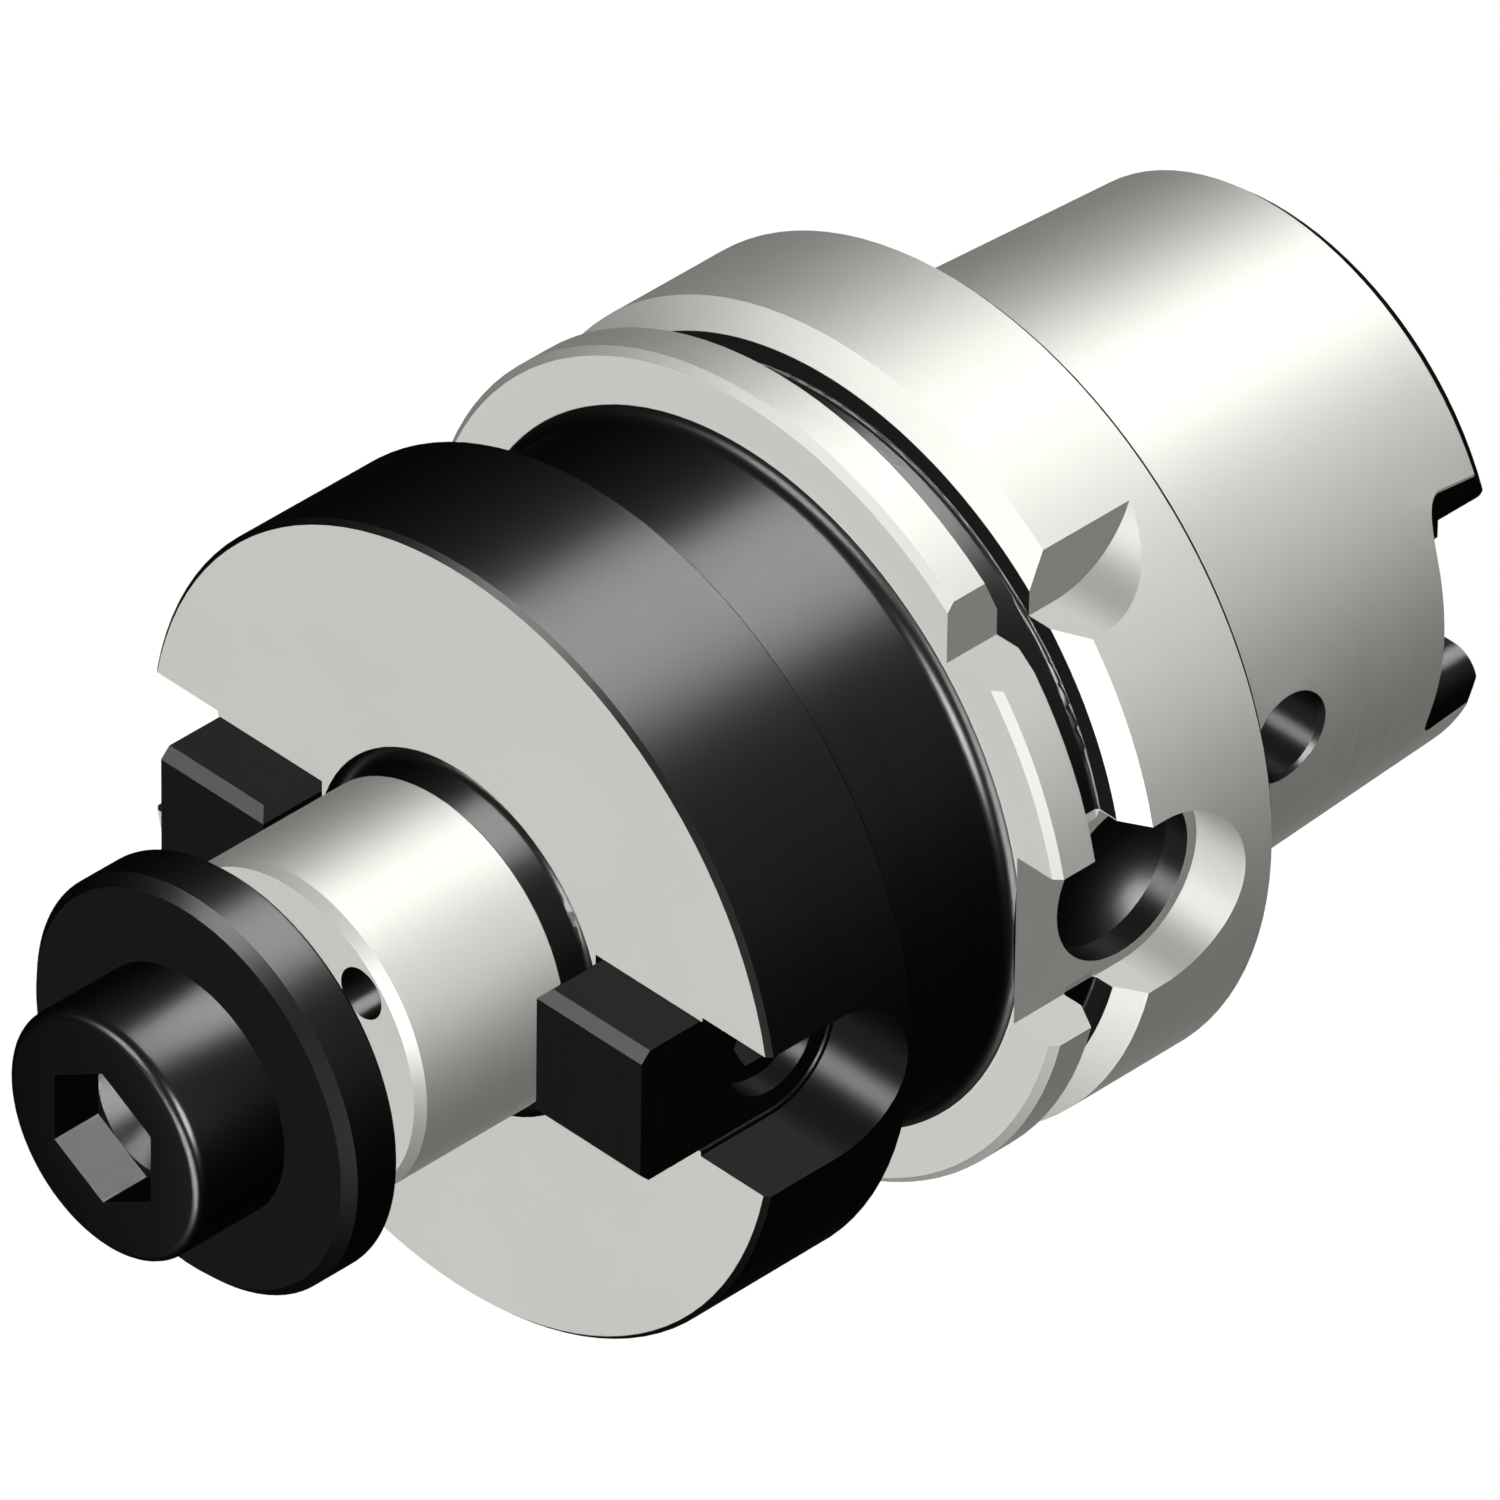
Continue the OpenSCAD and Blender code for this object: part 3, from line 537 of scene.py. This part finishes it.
rings = [ring(SEAT_OF_HEAD, CREST_R - 0.2 * MM), ring(SEAT_OF_HEAD, HEAD_R)]
for i in range(7):
    a = math.radians(15 * i)
    rings.append(ring(FRONT - EDGE_R * (1 - math.sin(a)), HEAD_R - EDGE_R * (1 - math.cos(a))))
rings += [
    ring(FRONT, AF / 2, hexagon=True),
    ring(FRONT - SOCKET_L, AF / 2, hexagon=True),
    ring(FRONT - SOCKET_L, DRILL_R),
    ring(FRONT - SOCKET_L - (1 - BLUNT) * DRILL_TIP, BLUNT * DRILL_R),
]
print("head outlines:", len(rings))


# %% Faces between the outlines
def stack(mesh, outlines, first_end, last_end):
    """Closed skin over a stack of outlines, with a point on the axis at each end."""
    loops = [[mesh.verts.new(p) for p in outline] for outline in outlines]
    for here, there in zip(loops, loops[1:]):
        for i in range(AROUND):
            j = (i + 1) % AROUND
            mesh.faces.new((here[i], here[j], there[j], there[i]))
    for loop, end in ((loops[0], first_end), (loops[-1], last_end)):
        middle = mesh.verts.new((end, 0, 0))
        for i in range(AROUND):
            mesh.faces.new((loop[i], loop[(i + 1) % AROUND], middle))


shape = bmesh.new()
shape.from_mesh(thread_mesh)
stack(shape, rings, SEAT_OF_HEAD, FRONT - SOCKET_L - DRILL_TIP)
bmesh.ops.recalc_face_normals(shape, faces=shape.faces)
print("open edges:", sum(not e.is_manifold for e in shape.edges))

# %% The finished screw
screw_mesh = bpy.data.meshes.new("clamp_screw_threaded")
shape.to_mesh(screw_mesh)
shape.free()
screw_mesh.materials.append(black_screws)
screw_mesh.shade_smooth()
screw_mesh.set_sharp_from_angle(angle=math.radians(28))
screw = bpy.data.objects.new("clamp_screw_threaded", screw_mesh)
bpy.context.scene.collection.objects.link(screw)
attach(screw, "screw")
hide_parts("clamp_screw")
print("screw:", len(screw_mesh.polygons), "faces")

# %% [markdown]
# The holder hangs in plain white. The floor is far below, so that its shadow
# falls outside the picture, and the world is white wherever the camera, a
# reflection or glass looks. Polished metal in front of pure white would lose its
# shape, so a photographer hangs black cloth round it, just outside the picture.
# The tent below does that, and only reflections see it. Some of the white from
# above comes through the cloth, so it gets a little lighter towards its top.

# %% Floor, world and black tent
FLOOR_Z, FLOOR_HALF, TENT_R = -0.6, 20.0, 0.5


def emission_by_ray(tree, kinds, strength):
    """White light that only some kinds of ray see."""
    path = add(tree, "ShaderNodeLightPath").outputs
    seen = path[kinds[0]]
    for kind in kinds[1:]:
        seen = maths(tree, "MAXIMUM", seen, path[kind])
    return maths(tree, "MULTIPLY", seen, strength)


WHITE_RAYS = ("Is Camera Ray", "Is Glossy Ray", "Is Transmission Ray")
floor_finish, tree = new_material("white_paper_floor")
PAPER_LIFT = 0.06
paper = add(tree, "ShaderNodeBsdfDiffuse", {"Color": linear("#BEBEBD")})
lift = add(tree, "ShaderNodeEmission", {"Strength": emission_by_ray(tree, WHITE_RAYS, PAPER_LIFT)})
lit = add(tree, "ShaderNodeAddShader", {0: paper.outputs[0], 1: lift.outputs[0]})
add(tree, "ShaderNodeOutputMaterial", {0: lit.outputs[0]})

floor_mesh = bpy.data.meshes.new("floor")
corners = ((-1, -1), (1, -1), (1, 1), (-1, 1))
floor_mesh.from_pydata(
    [(FLOOR_HALF * x, FLOOR_HALF * y, FLOOR_Z) for x, y in corners], [], [(0, 1, 2, 3)]
)
floor_mesh.materials.append(floor_finish)
floor = bpy.data.objects.new("floor", floor_mesh)
bpy.context.scene.collection.objects.link(floor)
print("floor %.1f m below the tool" % -FLOOR_Z)

# %% World
world = bpy.data.worlds.new("white_studio")
bpy.context.scene.world = world
world.use_nodes = True
tree = world.node_tree
tree.nodes.clear()
FILL = 0.28
white = emission_by_ray(tree, WHITE_RAYS, 1 - FILL)
sky = add(tree, "ShaderNodeBackground", {
    "Color": linear("#FFFFFF"), "Strength": maths(tree, "ADD", white, FILL),
})
add(tree, "ShaderNodeOutputWorld", {0: sky.outputs[0]})
print("world fill", FILL)

# %% Black tent
TENT_TOP = 0.141   # how light the cloth is at its top
tent_finish, tree = new_material("black_studio_cloth")
place_in_tent = add(tree, "ShaderNodeTexCoord").outputs["Object"]
height = add(tree, "ShaderNodeSeparateXYZ", {0: place_in_tent}).outputs[2]
glow = maths(tree, "MAXIMUM", maths(tree, "MULTIPLY", height, TENT_TOP / TENT_R), 0)
cloth = add(tree, "ShaderNodeEmission", {"Strength": glow})
add(tree, "ShaderNodeOutputMaterial", {0: cloth.outputs[0]})
shape = bmesh.new()
bmesh.ops.create_icosphere(shape, subdivisions=4, radius=TENT_R)
tent_mesh = bpy.data.meshes.new("black_tent")
shape.to_mesh(tent_mesh)
shape.free()
tent_mesh.materials.append(tent_finish)
tent = bpy.data.objects.new("black_tent", tent_mesh)
bpy.context.scene.collection.objects.link(tent)
for ray in ("camera", "diffuse", "transmission", "volume_scatter", "shadow"):
    setattr(tent, "visible_" + ray, False)
print("tent radius", TENT_R, "m")

# %% [markdown]
# Four lamps shape the metal. The key stands high behind the shank end and draws
# the bright band along every cylinder. Three fills in front light the faces,
# the lower sides and the chamfers. All are wide, as big soft boxes are, so that
# no highlight is small and hard. None of the four casts a shadow, because the
# picture shows none. A fifth lamp does cast one, for the floor, and is left out
# of the reflections. The picture also shows no part of the tool mirrored in
# another one, so a reflection looks past the tool, into the tent.

# %% Lamps
LAMPS = {
    # name: (direction of the lamp, strength, width in degrees, shadow)
    "key": ((-0.691, -0.046, 0.721), 2.42, 41.0, False),
    "low_front_fill": ((0.907, 0.106, -0.401), 3.00, 45.0, False),
    "side_fill": ((0.230, 0.871, 0.430), 3.85, 38.0, False),
    "high_front_fill": ((0.831, -0.335, 0.443), 1.83, 36.0, False),
    "floor_lamp": ((0.10, -0.15, 1.0), 0.8, 10.0, True),
}
for name, (towards, strength, width, shadow) in LAMPS.items():
    lamp = bpy.data.objects.new(name, bpy.data.lights.new(name, "SUN"))
    lamp.data.energy = strength
    lamp.data.angle = math.radians(width)
    lamp.data.use_shadow = shadow
    lamp.data.cycles.use_multiple_importance_sampling = shadow
    lamp.visible_glossy = not shadow
    lamp.rotation_mode = "QUATERNION"
    lamp.rotation_quaternion = Vector(towards).to_track_quat("Z", "Y")
    bpy.context.scene.collection.objects.link(lamp)
for piece in [*nodes.values(), screw]:
    piece.visible_glossy = False
bpy.context.scene.view_settings.view_transform = "Standard"
print("lamps:", ", ".join(LAMPS))
